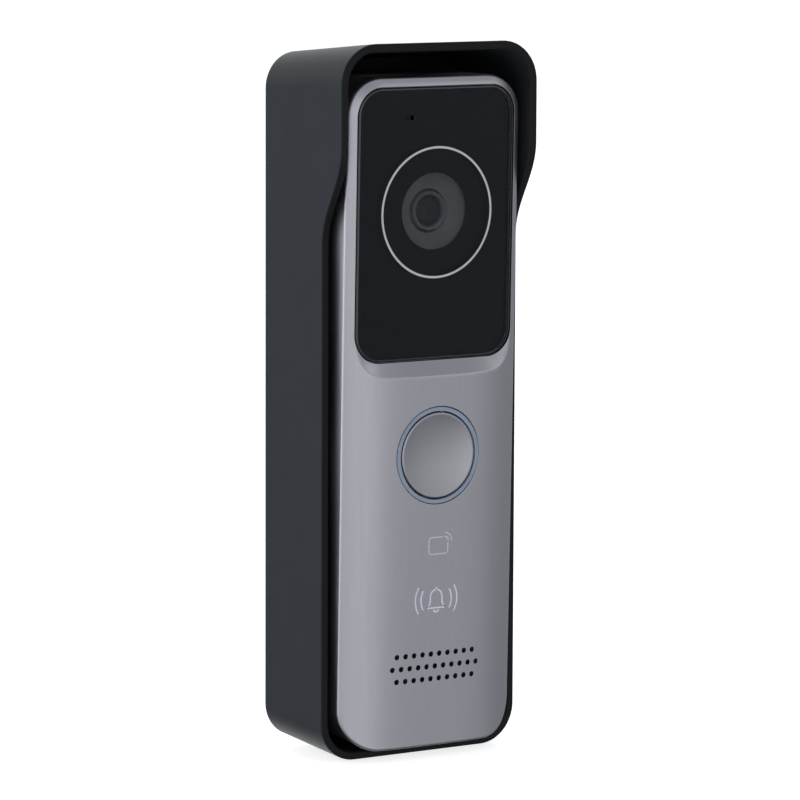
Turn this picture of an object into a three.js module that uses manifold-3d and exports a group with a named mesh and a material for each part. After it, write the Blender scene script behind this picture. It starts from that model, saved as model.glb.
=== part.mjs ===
// Video doorbell: a slim aluminium door station in a black rain cover.
// Millimetres, +Z up. The origin is the centre of the cover's back, which lies on the wall.
// The front faces -Y, so depths are negative and a larger depth is nearer the wall.
import * as THREE from 'three';
import { mergeVertices } from 'three/addons/utils/BufferGeometryUtils.js';
import Module from 'manifold-3d';

const wasm = await Module();
wasm.setup();

// ---------- driving dimensions ----------

const GAP = 0.3; // between a piece and the next one
const TILT = THREE.MathUtils.degToRad(1.3); // lean of the front face, top forward

// rain cover
const COVER = { half: 26.1, low: -80.6, high: 80.6, corner: 9.2 }; // at the depth of the visor's edge
const COVER_REAR = { ...COVER, low: -77.7, high: 77.7, corner: 8 }; // on the wall; it flares to the front
const COVER_WALL = 1.8;
const COVER_BACK = 2; // thickness of its back plate
const LIP_DEPTH = 23.9; // front edge of the lower part
const VISOR_DEPTH = 31.7; // front edge of the visor
const SWEEP = { low: 36.3, high: 57.8 }; // heights where the lip sweeps out to the visor

// device outline: the front of the shell, and the housing with the back of the shell
const DEVICE = { half: 23, low: -77.35, high: 73.1, corner: 9 };
const HOUSING = { ...DEVICE, low: -75.9 };
const SHELL_STRAIGHT = -27; // depth where the shell has grown to its full outline
const DEVICE_WALL = 1.8;

// bowed front face of the shell
const APEX = -31.65; // its middle at height 0
const BOW = 4.25; // how far the side edges lie behind the middle
const BOW_POWER = 3.83;
const FACE_WALL = 2;

// flat field that holds the window
const FIELD = -28.8; // its depth at height 0
const FIELD_MARGIN = 0.15; // how far it reaches round the window
const RAMP_SLOPE = 3.5 / 2.85; // run over rise of the ledge under the window
const BEVEL = { width: 2.2, drop: 1.4 };

const WINDOW = { half: 20.7, low: 10, high: 70.7, corner: 6.3 };
const WINDOW_THICK = 1.4;
const WINDOW_CHAMFER = 0.3;
const POCKET_DEPTH = 2.3;
const RIM = 2.3; // ledge inside the shell that the window is stuck to

const LENS_Z = 43;
const APERTURE = { x: 0.3, radius: 8.6 }; // in the mask, slightly to the right of the lens
const MICROPHONE = { x: -6.6, z: 64 };

// call button
const BUTTON_Z = -11.5;
const BUTTON_RADIUS = 9.63;
const RING = { inner: 9.93, outer: 10.75, flange: 13 };
const DISH = { rim: 9.2, depth: 1.3 };
const BUTTON_FACE = APEX - Math.tan(TILT) * BUTTON_Z; // depth of the face at the button

// speaker
const SPEAKER_Z = -59.2;
const HOLE_PITCH = 2.25;
const HOLE_ROW = 2.81;
const HOLE_RADIUS = 0.6;
const HOLE_ROWS = [10, 11, 10];
const SPEAKER_EAR = 16.8;

// housing and boards
const SHELL_BACK = -14.8;
const HOUSING_BACK = -5;
const HOUSING_FRONT = -14.4;
const HOUSING_FLOOR = -7; // inside face of its back wall
const TONGUE = { inset: 2.1, wall: 1.2, front: -17.4 };
const HOUSING_SCREWS = [[-17, 65], [17, 65], [-17, -70], [17, -70]];
const BRACKET = { half: 15, low: -44, high: 60, back: -2.3, front: -3.5 };
const BRACKET_SCREWS = [-28, 30];
const WALL_HOLES = [-38, 66];
const HOOKS = [-10, 48]; // heights of the tops of the bracket's hooks
const MAIN_BOARD = { half: 15.6, low: -42, high: 26, back: -9.4, front: -11 };
const MAIN_POSTS = [[-13, 22], [13, 22], [-13, -38], [13, -38]];
const CAMERA_BOARD = { half: 13, low: 29, high: 57, back: -10.4, front: -11.6 };
const CAMERA_POSTS = [[-10.5, 54.5], [10.5, 31.5]];
const LED_BOARD = { half: 19.4, low: 29, high: 59.5, back: -22.7, front: -23.9 };
const LED_BOARD_HEAD = { half: 12.5, low: 50, high: 68 };
const LED_POSTS = [[-17.8, 34], [17.8, 34], [-17.8, 57], [17.8, 57]];
const BUTTON_BOARD = { half: 16.8, low: -26, high: 3, back: -19.2, front: -20.6 };
const BUTTON_BOSSES = [[-14.6, 0.7], [14.6, 0.7], [-14.6, -23.7], [14.6, -23.7]];
const RECESS = { half: 14.4, low: -68.4, high: -45.6, front: -15.6 }; // for the terminals
const CABLE = { half: 12, low: -62.5, high: -51.5, corner: 4 };
const TAMPER = { x: -8, z: 8 };
const SECURITY_Y = -10;

// ---------- shape helpers ----------

function merged(geometry) {
  const bare = geometry.index ? geometry.toNonIndexed() : geometry.clone();
  bare.deleteAttribute('normal');
  bare.deleteAttribute('uv');
  return mergeVertices(bare, 1e-4);
}

// A closed three.js geometry as a manifold solid with its faces pointing out.
function solid(geometry) {
  const shape = merged(geometry);
  const points = shape.attributes.position.array;
  const faces = [];
  let volume = 0;
  for (let i = 0; i < shape.index.count; i += 3) {
    const [a, b, c] = shape.index.array.slice(i, i + 3);
    if (a === b || b === c || c === a) continue;
    faces.push([a, b, c]);
    const [p, q, r] = [a, b, c].map((n) => new THREE.Vector3().fromArray(points, 3 * n));
    volume += p.dot(q.cross(r));
  }
  const order = volume < 0 ? faces.map(([a, b, c]) => [a, c, b]) : faces;
  return new wasm.Manifold(new wasm.Mesh({
    numProp: 3,
    vertProperties: Float32Array.from(points),
    triVerts: Uint32Array.from(order.flat()),
  }));
}

function geometryOf(manifold) {
  const mesh = manifold.getMesh();
  const geometry = new THREE.BufferGeometry();
  geometry.setAttribute('position', new THREE.BufferAttribute(mesh.vertProperties, 3));
  geometry.setIndex(new THREE.BufferAttribute(mesh.triVerts, 1));
  return geometry;
}

function join(...pieces) {
  return pieces.reduce((all, piece) => all.add(piece));
}

function cut(body, ...tools) {
  return tools.reduce((left, tool) => left.subtract(tool), body);
}

// Outline {half, low, high, corner} grown outward by a margin.
function grown(outline, margin) {
  return {
    half: outline.half + margin,
    low: outline.low - margin,
    high: outline.high + margin,
    corner: (outline.corner ?? 1) + margin,
  };
}

function outlineShape({ half, low, high, corner }) {
  const shape = new THREE.Shape();
  shape.absarc(half - corner, high - corner, corner, 0, Math.PI / 2);
  shape.absarc(-half + corner, high - corner, corner, Math.PI / 2, Math.PI);
  shape.absarc(-half + corner, low + corner, corner, Math.PI, 1.5 * Math.PI);
  shape.absarc(half - corner, low + corner, corner, 1.5 * Math.PI, 2 * Math.PI);
  shape.closePath();
  return shape;
}

// A flat shape drawn in X and Z, extruded from depth `back` to depth `front`.
function prism(shape, back, front, arcSteps = 4) {
  const options = { depth: back - front, bevelEnabled: false, curveSegments: arcSteps };
  const geometry = new THREE.ExtrudeGeometry(shape, options);
  return solid(geometry.rotateX(Math.PI / 2).translate(0, back, 0));
}

function slab(outline, back, front, arcSteps) {
  return prism(outlineShape({ corner: 1, ...outline }), back, front, arcSteps);
}

function box(half, low, high, back, front, x = 0) {
  const geometry = new THREE.BoxGeometry(2 * half, back - front, high - low);
  return solid(geometry.translate(x, (back + front) / 2, (low + high) / 2));
}

// A round rod along Y.
function rod(x, z, radius, back, front, sides = 10) {
  const geometry = new THREE.CylinderGeometry(radius, radius, back - front, sides);
  return solid(geometry.translate(x, (back + front) / 2, z));
}

// A turned piece about the line along Y at (x, z), from [radius, depth] points.
function turned(profile, x, z, sides = 32) {
  const points = profile.map(([radius, depth]) => new THREE.Vector2(radius, depth));
  return new THREE.LatheGeometry(points, sides).translate(x, 0, z);
}

// Leans a piece of the front face: level depths become depths on the tilted face.
function leaned(geometry, depth = FIELD, height = 0) {
  return geometry.translate(0, -depth, -height).rotateX(TILT).translate(0, depth, height);
}

// A solid through convex outlines, each [outline, depth], from the back to the front.
function loft(...sections) {
  const rings = sections.map(([outline, depth]) =>
    outlineShape(outline).extractPoints(7).shape.slice(0, -1)
      .map((point) => [point.x, depth, point.y]));
  const count = rings[0].length;
  const last = (rings.length - 1) * count;
  const faces = [];
  for (let i = 0; i < count; i += 1) {
    const next = (i + 1) % count;
    for (let base = 0; base < last; base += count) {
      faces.push(base + i, base + next, base + count + next);
      faces.push(base + i, base + count + next, base + count + i);
    }
    if (i > 0 && i < count - 1) {
      faces.push(0, i + 1, i, last, last + i, last + i + 1);
    }
  }
  const geometry = new THREE.BufferGeometry();
  const positions = Float32Array.from(rings.flat(2));
  geometry.setAttribute('position', new THREE.BufferAttribute(positions, 3));
  geometry.setIndex(faces);
  return geometry;
}

// A tall bar whose section is flat at the back and bowed at the front.
function bowedBar(half, apex, bow, back, steps) {
  const section = new THREE.Shape();
  section.moveTo(-half, back);
  section.lineTo(half, back);
  for (let i = 0; i <= steps; i += 1) {
    const across = 1 - (2 * i) / steps;
    section.lineTo(half * across, apex + bow * Math.abs(across) ** BOW_POWER);
  }
  const options = { depth: 200, bevelEnabled: false };
  return solid(leaned(new THREE.ExtrudeGeometry(section, options).translate(0, 0, -100)));
}

// A machine screw along Y with its head at the back or at the front.
function screw(x, z, shank, head, headFace, shoulder, tip) {
  const profile = [
    [0, headFace], [head, headFace], [head, shoulder], [shank, shoulder], [shank, tip], [0, tip],
  ];
  return solid(turned(profile, x, z, 10));
}

// ---------- materials ----------

function material(color, metalness, roughness) {
  return new THREE.MeshStandardMaterial({ color, metalness, roughness });
}

const LOOK = {
  cover: material('#303438', 0, 0.42),
  aluminium: material('#9a9aa2', 0.9, 0.36),
  window: material('#17191b', 0, 0.08),
  mask: material('#0c0d0e', 0, 0.5),
  lightRing: material('#8fa6bf', 0, 0.3),
  glass: material('#20252c', 0, 0.05),
  plastic: material('#1b1c1e', 0, 0.55),
  shroud: material('#3e4246', 0, 0.6),
  rubber: material('#141415', 0, 0.85),
  board: material('#1d4a2f', 0, 0.5),
  chip: material('#17171a', 0, 0.45),
  shield: material('#b9bcc0', 0.9, 0.35),
  steel: material('#a7abb0', 0.9, 0.3),
  copper: material('#a8683a', 0.8, 0.4),
  foam: material('#222224', 0, 0.95),
  paper: material('#3a3a3c', 0, 0.9),
  led: material('#e8ecf2', 0, 0.3),
  terminal: material('#2f7a48', 0, 0.5),
};

const doorbell = new THREE.Group();
doorbell.name = 'video_doorbell';

function add(name, shape, look) {
  const geometry = shape.isBufferGeometry ? merged(shape) : geometryOf(shape);
  const mesh = new THREE.Mesh(geometry, look);
  mesh.name = name;
  doorbell.add(mesh);
}

// ---------- rain cover, bracket and their fixings ----------

// The side view of the cover's front edge: lower lip, sweep, visor.
function coverSide() {
  const steps = 14;
  const side = new THREE.Shape();
  side.moveTo(1, COVER.low - 1);
  side.lineTo(1, COVER.high + 1);
  side.lineTo(-VISOR_DEPTH, COVER.high + 1);
  for (let i = 0; i <= steps; i += 1) {
    const share = i / steps;
    const out = VISOR_DEPTH - (VISOR_DEPTH - LIP_DEPTH) * (1 - Math.cos(Math.PI * share)) / 2;
    side.lineTo(-out, THREE.MathUtils.lerp(SWEEP.high, SWEEP.low, share));
  }
  side.lineTo(-LIP_DEPTH, COVER.low - 1);
  const options = { depth: 2 * COVER.half + 2, bevelEnabled: false };
  const geometry = new THREE.ExtrudeGeometry(side, options);
  // drawn as (depth, height); turned so that it runs across X
  geometry.applyMatrix4(new THREE.Matrix4().makeBasis(
    new THREE.Vector3(0, 1, 0), new THREE.Vector3(0, 0, 1), new THREE.Vector3(1, 0, 0)));
  return solid(geometry.translate(-COVER.half - 1, 0, 0));
}

// The flaring cover's outline at a depth, grown outward by a margin.
function coverOutline(depth, margin = 0) {
  const at = (key) => THREE.MathUtils.lerp(COVER_REAR[key], COVER[key], -depth / VISOR_DEPTH);
  return grown({ half: COVER.half, low: at('low'), high: at('high'), corner: at('corner') }, margin);
}

function coverBlock(margin, back, front) {
  return solid(loft([coverOutline(back, margin), back], [coverOutline(front, margin), front]));
}

const SECURITY_Z = coverOutline(SECURITY_Y).low; // the cover's underside at the security screw

function rainCover() {
  const hollow = coverBlock(-COVER_WALL, -COVER_BACK, -VISOR_DEPTH - 2);
  const wallHoles = WALL_HOLES.map((z) => rod(0, z, 2.3, 1, -COVER_BACK - 1));
  const bracketHoles = BRACKET_SCREWS.map((z) => rod(0, z, 1.5, 1, -COVER_BACK - 1, 8));
  const hood = coverBlock(0, 0, -VISOR_DEPTH - 1).intersect(coverSide());
  const down = new THREE.CylinderGeometry(1.6, 1.6, 4, 16).rotateX(Math.PI / 2);
  const counterbore = new THREE.CylinderGeometry(3, 3, 2, 20).rotateX(Math.PI / 2);
  return cut(
    hood,
    hollow,
    slab(CABLE, 1, -COVER_BACK - 1),
    ...wallHoles,
    ...bracketHoles,
    solid(down.translate(0, SECURITY_Y, SECURITY_Z + 1)),
    solid(counterbore.translate(0, SECURITY_Y, SECURITY_Z)),
  );
}

add('rain_cover', rainCover(), LOOK.cover);

function hook(top) {
  const stem = box(4, top - 2, top, BRACKET.front + 0.5, -7.3);
  return join(stem, box(4, top - 2, top + 2.3, -6.5, -7.3));
}

function mountingBracket() {
  const plate = slab({ ...BRACKET, corner: 3 }, BRACKET.back, BRACKET.front);
  return cut(
    join(plate, ...HOOKS.map(hook)),
    ...BRACKET_SCREWS.map((z) => rod(0, z, 1.5, -1, -5, 8)),
    rod(0, WALL_HOLES[0], 4, -1, -5),
    slab({ half: 5, low: 8, high: 22, corner: 2 }, -1, -5),
  );
}

add('mounting_bracket', mountingBracket(), LOOK.steel);
BRACKET_SCREWS.forEach((z, i) => {
  add(`bracket_screw_${i + 1}`, screw(0, z, 1.2, 2.4, -4.7, BRACKET.front - 0.1, -0.4), LOOK.steel);
});

function cableGrommet() {
  const body = join(slab(grown(CABLE, -GAP), -0.2, -3.4), slab(grown(CABLE, 1.5), -2.3, -3.4));
  return cut(body, slab(grown(CABLE, -2.3), 1, -5));
}

add('cable_grommet', cableGrommet(), LOOK.rubber);

function securityScrew() {
  const profile = [[0, 0], [2.2, 0], [2.6, 0.3], [2.6, 0.85], [1.3, 0.85], [1.3, 7.6], [0, 7.6]];
  const body = new THREE.LatheGeometry(profile.map(([r, z]) => new THREE.Vector2(r, z)), 16);
  const socket = new THREE.CylinderGeometry(1.1, 1.1, 1, 6);
  const upright = (geometry) => solid(geometry.rotateX(Math.PI / 2).translate(0, SECURITY_Y, SECURITY_Z));
  return cut(upright(body), upright(socket));
}

add('security_screw', securityScrew(), LOOK.steel);

// ---------- front shell ----------

// Everything in front of the flat field, with the sloping ledge under the window.
function fieldCutter() {
  const reach = 4;
  const floor = { ...grown(WINDOW, FIELD_MARGIN), high: 95 };
  const mouth = { ...grown(floor, reach * RAMP_SLOPE), high: 95 };
  return solid(leaned(loft([floor, FIELD], [mouth, FIELD - reach])));
}

// Keeps the lower face whole and bevels the edge above the window.
function topBevel() {
  const side = BEVEL.width - 0.15;
  const section = (drop) => {
    const outline = grown(DEVICE, -BEVEL.width + (BEVEL.width * drop) / BEVEL.drop);
    return [{ ...outline, half: outline.half + BEVEL.width - side }, FIELD + drop];
  };
  const behind = section(2 * BEVEL.drop)[0];
  const upper = solid(leaned(loft([behind, 0], section(2 * BEVEL.drop), section(-0.1))));
  return join(upper, box(30, -100, 14, 5, -45));
}

function innerCavity() {
  const inside = grown(HOUSING, -DEVICE_WALL);
  const lower = bowedBar(inside.half, APEX + FACE_WALL, BOW - 0.65, 5, 8)
    .intersect(slab({ ...inside, high: 4.6 }, 5, -40));
  return join(lower, slab({ ...inside, low: -14 }, 5, -25.4));
}

function speakerHoles() {
  const holes = [];
  HOLE_ROWS.forEach((count, row) => {
    for (let i = 0; i < count; i += 1) {
      const x = (i - (count - 1) / 2) * HOLE_PITCH;
      holes.push(rod(x, SPEAKER_Z + (1 - row) * HOLE_ROW, HOLE_RADIUS, -20, -35, 6));
    }
  });
  return holes;
}

function frontShell() {
  const face = bowedBar(DEVICE.half, APEX, BOW, -5, 18);
  const block = loft([HOUSING, SHELL_BACK], [DEVICE, SHELL_STRAIGHT], [DEVICE, -40]);
  const outside = solid(block).intersect(face).intersect(topBevel());
  const pocket = solid(leaned(loft([grown(WINDOW, 0.25), FIELD + POCKET_DEPTH],
    [grown(WINDOW, 0.25), FIELD - 1])));
  const bosses = join(
    ...HOUSING_SCREWS.map(([x, z]) => rod(x, z, 3, SHELL_BACK - GAP, -27.6)),
    ...BUTTON_BOSSES.map(([x, z]) => rod(x, z, 2.1, BUTTON_BOARD.front - GAP, -29.6, 8)),
    ...[-SPEAKER_EAR, SPEAKER_EAR].map((x) => rod(x, SPEAKER_Z, 2.1, -25.6, -28, 8)),
  );
  const threads = [
    ...HOUSING_SCREWS.map(([x, z]) => rod(x, z, 1.55, -14, -23.5, 8)),
    ...BUTTON_BOSSES.map(([x, z]) => rod(x, z, 1.2, -20, -26, 8)),
    ...[-SPEAKER_EAR, SPEAKER_EAR].map((x) => rod(x, SPEAKER_Z, 1.1, -25, -27.2, 8)),
  ];
  const hollow = cut(outside, innerCavity(), fieldCutter(), pocket,
    slab(grown(WINDOW, -RIM), -20, -35));
  return cut(
    join(hollow, bosses),
    ...threads,
    rod(0, BUTTON_Z, RING.outer + GAP, -20, -40, 32),
    ...speakerHoles(),
  );
}

add('front_shell', frontShell(), LOOK.aluminium);

// ---------- window stack ----------

function frontWindow() {
  const front = [grown(WINDOW, -WINDOW_CHAMFER), FIELD];
  const plate = loft([WINDOW, FIELD + WINDOW_THICK], [WINDOW, FIELD + WINDOW_CHAMFER], front);
  return cut(solid(leaned(plate)), rod(MICROPHONE.x, MICROPHONE.z, 0.6, -20, -40, 8));
}

function layer(margin, near, far) {
  return solid(leaned(loft([grown(WINDOW, margin), FIELD + far], [grown(WINDOW, margin), FIELD + near])));
}

add('front_window', frontWindow(), LOOK.window);
add('window_mask', cut(
  layer(-0.4, 1.5, 1.75),
  rod(APERTURE.x, LENS_Z, APERTURE.radius, -20, -40, 28),
  rod(MICROPHONE.x, MICROPHONE.z, 0.8, -20, -40, 8),
), LOOK.mask);
add('window_adhesive', cut(layer(-0.4, 1.85, 2.15), layer(-RIM, 0, 5)), LOOK.foam);

// ---------- camera ----------

const lensPart = (profile, sides = 20) => solid(turned(profile, 0, LENS_Z, sides));

add('lens_shroud', lensPart([
  [4.9, -26.3], [8.9, -27.4], [10.6, -27.4], [10.6, -24.2], [9.6, -24.2], [9.6, -26.4], [8.9, -26.6],
  [4.9, -25.5], [4.9, -26.3],
]), LOOK.shroud);
add('lens_barrel', lensPart([
  [3.6, -27.1], [4.4, -27.1], [4.4, -22.4], [6, -22], [6, -16.2], [3.6, -16.2], [3.6, -27.1],
]), LOOK.plastic);
add('front_lens', lensPart([
  [0, -27], [1.2, -26.9], [2.3, -26.6], [3.3, -26.1], [3.3, -25], [1.8, -24.6], [0, -24.5],
], 24), LOOK.glass);
add('rear_lens', lensPart([
  [0, -18.6], [1.8, -18.5], [3.3, -18], [3.3, -17], [0, -16.8],
], 24), LOOK.glass);

function lensHolder() {
  const body = join(box(7, LENS_Z - 7, LENS_Z + 7, -11.8, -17), rod(0, LENS_Z, 7.4, -16, -20.5, 24));
  return cut(
    body,
    rod(0, LENS_Z, 6.3, -15.9, -25, 24),
    box(5, LENS_Z - 5, LENS_Z + 5, -10, -16.2),
    box(10, LENS_Z - 3.9, LENS_Z + 3.9, -13.5, -15.1),
  );
}

add('lens_holder', lensHolder(), LOOK.plastic);

const SHUTTLE_X = -3; // daylight position: its right filter is over the sensor
add('ir_cut_shuttle', cut(
  box(8.4, LENS_Z - 3.5, LENS_Z + 3.5, -13.9, -14.7, SHUTTLE_X),
  box(0.8, LENS_Z - 4, LENS_Z - 2.7, -13, -16, SHUTTLE_X - 7.4),
), LOOK.glass);
add('ir_cut_actuator', box(5, LENS_Z + 7.7, LENS_Z + 11.5, -11.9, -16.4), LOOK.copper);
add('image_sensor', box(3.6, LENS_Z - 3.1, LENS_Z + 3.1, CAMERA_BOARD.front - 0.1, -12.6), LOOK.chip);

function boardWith(board, holes, radius) {
  return cut(slab(board, board.back, board.front, 3),
    ...holes.map(([x, z]) => rod(x, z, radius, 0, -40, 8)));
}

add('camera_board', boardWith(CAMERA_BOARD, CAMERA_POSTS, 1.2), LOOK.board);
CAMERA_POSTS.forEach(([x, z], i) => {
  const tip = CAMERA_BOARD.back + 2;
  add(`camera_screw_${i + 1}`, screw(x, z, 0.9, 1.9, -12.9, -11.7, tip), LOOK.steel);
});
add('camera_flex', box(4, 20, 31, -12.1, -12.3), LOOK.copper);

add('led_board', cut(
  join(boardWith(LED_BOARD, LED_POSTS, 1.2), slab(LED_BOARD_HEAD, LED_BOARD.back, LED_BOARD.front)),
  rod(0, LENS_Z, 6.4, 0, -40, 32),
), LOOK.board);
[[-14, 36], [14, 36]].forEach(([x, z], i) => {
  const led = solid(turned([[0, -24], [1.7, -24], [1.7, -25.2], [1.2, -26], [0, -26.3]], x, z, 8));
  add(`ir_led_${i + 1}`, led, LOOK.led);
});
add('light_sensor', box(1.4, 62.6, 65.4, -24, -25, 6.6), LOOK.chip);

const microphonePart = (profile) => solid(turned(profile, MICROPHONE.x, MICROPHONE.z, 12));
add('microphone', microphonePart([[0, -24], [2, -24], [2, -25.5], [0, -25.5]]), LOOK.chip);
add('microphone_boot', microphonePart([
  [2.2, -24.1], [3, -24.1], [3, -27.6], [1, -27.6], [1, -25.8], [2.2, -25.8], [2.2, -24.1],
]), LOOK.rubber);

// ---------- call button ----------

// A turned piece of the button, from [radius, distance behind the face] points.
function buttonPart(profile, sides) {
  const piece = turned(profile.map(([radius, behind]) => [radius, BUTTON_FACE + behind]), 0, BUTTON_Z, sides);
  return leaned(piece, BUTTON_FACE, BUTTON_Z);
}

function dish(rim, depth, steps) {
  return Array.from({ length: steps + 1 }, (_, i) => {
    const radius = (rim * i) / steps;
    return [radius, 0.1 + depth * (1 - (radius / rim) ** 2)];
  });
}

add('call_button', solid(buttonPart([
  ...dish(DISH.rim, DISH.depth, 4), [9.45, 0.1], [BUTTON_RADIUS, 0.28], [BUTTON_RADIUS, 3.8], [11.2, 3.8],
  [11.2, 4.6], [2, 4.6], [2, 6], [0, 6],
], 32)), LOOK.aluminium);
add('button_light_ring', solid(buttonPart([
  [RING.inner, 0.15], [RING.outer, 0.15], [RING.outer, 2.9], [RING.flange, 2.9],
  [RING.flange, 3.5], [RING.inner, 3.5], [RING.inner, 0.15],
], 32)), LOOK.lightRing);

const behindFace = (distance) => BUTTON_FACE + distance;
add('tact_plunger', rod(0, BUTTON_Z, 1.75, behindFace(7.7), behindFace(6.3), 16), LOOK.chip);
add('tact_switch', cut(
  box(3.1, BUTTON_Z - 3.1, BUTTON_Z + 3.1, BUTTON_BOARD.front - 0.1, behindFace(7.2)),
  rod(0, BUTTON_Z, 2.05, behindFace(9), behindFace(5), 16),
), LOOK.steel);
add('button_board', boardWith(BUTTON_BOARD, BUTTON_BOSSES, 1.2), LOOK.board);
[[1, BUTTON_BOSSES[1]], [2, BUTTON_BOSSES[2]]].forEach(([number, [x, z]]) => {
  const shoulder = BUTTON_BOARD.back + 0.1;
  add(`button_board_screw_${number}`, screw(x, z, 0.9, 1.9, shoulder + 1.2, shoulder, -25.5), LOOK.steel);
});
[-11.6, 11.6].forEach((x, i) => {
  const led = box(1.1, BUTTON_Z - 1.1, BUTTON_Z + 1.1, BUTTON_BOARD.front - 0.1, -21.8, x);
  add(`ring_led_${i + 1}`, led, LOOK.led);
});

// ---------- card reader and speaker ----------

add('card_antenna', cut(
  slab({ half: 15, low: -44.2, high: -26.6, corner: 3 }, -26.8, -27.6),
  slab({ half: 10, low: -39.8, high: -31, corner: 2 }, -20, -30),
), LOOK.copper);

const speakerPart = (profile, sides = 20) => solid(turned(profile, 0, SPEAKER_Z, sides));
const ear = (x) => join(rod(x, SPEAKER_Z, 2.4, -24.1, -25.3, 16),
  box(2.6, SPEAKER_Z - 2, SPEAKER_Z + 2, -24.1, -25.3, Math.sign(x) * (SPEAKER_EAR - 2.6)));

add('speaker_mesh', rod(0, SPEAKER_Z, 13.4, -27.3, -27.5, 24), LOOK.paper);
add('speaker_gasket', speakerPart([
  [11.8, -27.1], [13.8, -27.1], [13.8, -25.6], [11.8, -25.6], [11.8, -27.1],
]), LOOK.foam);
add('speaker_frame', cut(
  join(
    speakerPart([
      [11.8, -25.3], [14, -25.3], [14, -24.1], [12.4, -24.1], [10, -19.9], [4, -19.9],
      [4, -20.7], [9.4, -20.7], [11.8, -24.9], [11.8, -25.3],
    ]),
    ear(-SPEAKER_EAR),
    ear(SPEAKER_EAR),
  ),
  rod(-SPEAKER_EAR, SPEAKER_Z, 1.2, -20, -30, 10),
  rod(SPEAKER_EAR, SPEAKER_Z, 1.2, -20, -30, 10),
), LOOK.shield);
add('speaker_cone', speakerPart([
  [0, -24], [2, -23.6], [3.4, -22.6], [10.6, -25.2], [11.5, -25.2], [11.4, -24.8], [10.6, -24.7],
  [3.4, -22], [2, -22.4], [0, -22.4],
]), LOOK.paper);
add('speaker_magnet', speakerPart([[0, -19.6], [8.4, -19.6], [8.4, -17.5], [0, -17.5]], 24), LOOK.chip);
[-SPEAKER_EAR, SPEAKER_EAR].forEach((x, i) => {
  add(`speaker_screw_${i + 1}`, screw(x, SPEAKER_Z, 0.8, 1.8, -22.9, -24, -26.9), LOOK.steel);
});

// ---------- rear housing and main board ----------

function hookPocket(top) {
  const mouth = box(4.5, top - 4.5, top + GAP, -4, -6.5);
  return join(mouth, box(4.5, top - 4.5, top + 3, -6.2, -7.8));
}

function rearHousing() {
  const tongue = grown(HOUSING, -TONGUE.inset);
  const posts = (places, radius, front) => places.map(([x, z]) => rod(x, z, radius, -6.5, front, 8));
  const cavity = join(
    slab(grown(tongue, -TONGUE.wall), HOUSING_FLOOR, -20),
    slab(grown(HOUSING, -DEVICE_WALL), HOUSING_FLOOR, -12),
  );
  const shell = cut(join(slab(HOUSING, HOUSING_BACK, HOUSING_FRONT, 7), slab(tongue, -12, TONGUE.front)),
    cavity,
    cut(slab(grown(HOUSING, -0.4), -13.5, -14.6), slab(grown(HOUSING, -1.6), -13, -15)));
  const recessBox = grown(RECESS, 1.4);
  const solidParts = join(
    shell,
    ...HOUSING_SCREWS.map(([x, z]) => rod(x, z, 3, -6.5, HOUSING_FRONT)),
    ...posts(MAIN_POSTS, 2.1, MAIN_BOARD.back + GAP),
    ...posts(CAMERA_POSTS, 2.1, CAMERA_BOARD.back + GAP),
    ...posts(LED_POSTS, 1.6, LED_BOARD.back + GAP),
    ...posts(LED_POSTS, 0.85, LED_BOARD.front - 0.5),
    ...HOOKS.map((top) => box(6, top - 6, top + 4.4, -6.5, -8.6)),
    box(recessBox.half, recessBox.low, recessBox.high, -6.5, -17),
    box(3.4, HOUSING.low + 1, -69, -6.5, -13.4),
  );
  const upward = new THREE.CylinderGeometry(1.6, 1.6, 10, 12).rotateX(Math.PI / 2);
  return cut(
    solidParts,
    box(RECESS.half, RECESS.low, RECESS.high, -4, RECESS.front),
    ...HOUSING_SCREWS.map(([x, z]) => rod(x, z, 1.6, -4, -16, 8)),
    ...HOUSING_SCREWS.map(([x, z]) => rod(x, z, 2.7, -4, -8.2)),
    ...HOUSING_SCREWS.map(([x, z]) => rod(x, z, 3.5, HOUSING_FRONT, -20)),
    ...MAIN_POSTS.map(([x, z]) => rod(x, z, 1.2, -7.2, -10, 8)),
    ...CAMERA_POSTS.map(([x, z]) => rod(x, z, 1.2, -8, -11, 8)),
    ...HOOKS.map(hookPocket),
    rod(TAMPER.x, TAMPER.z, 1.9, -4, -8),
    solid(upward.translate(0, SECURITY_Y, HOUSING.low + 0.5)),
  );
}

add('rear_housing', rearHousing(), LOOK.plastic);
const seal = cut(slab(grown(HOUSING, -0.6), -13.6, -14.7), slab(grown(HOUSING, -1.4), -13, -15));
add('housing_seal', seal, LOOK.rubber);
HOUSING_SCREWS.forEach(([x, z], i) => {
  add(`housing_screw_${i + 1}`, screw(x, z, 1.25, 2.3, -6, -8.1, -22.5), LOOK.steel);
});

add('main_board', boardWith(MAIN_BOARD, MAIN_POSTS, 1.2), LOOK.board);
[[1, MAIN_POSTS[0]], [2, MAIN_POSTS[3]]].forEach(([number, [x, z]]) => {
  add(`main_board_screw_${number}`, screw(x, z, 0.9, 1.9, -12.3, MAIN_BOARD.front - 0.1, -7.6), LOOK.steel);
});
const onBoard = MAIN_BOARD.front - 0.1;
add('processor', box(5.5, 0.5, 11.5, onBoard, -12.4), LOOK.chip);
add('wifi_module', box(7, -33, -21, onBoard, -13.4), LOOK.shield);
add('wifi_antenna', box(0.15, -38, -8, -8, -11.6, 20.8), LOOK.copper);

function terminalBlock() {
  const block = box(11, -62, -52, -6.5, -15.2);
  const ways = [-8.1, -2.7, 2.7, 8.1];
  return cut(block,
    ...ways.map((x) => rod(x, -55, 1.6, -6, -10, 8)),
    ...ways.map((x) => box(1.8, -60.6, -57.8, -6, -12, x)));
}

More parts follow.
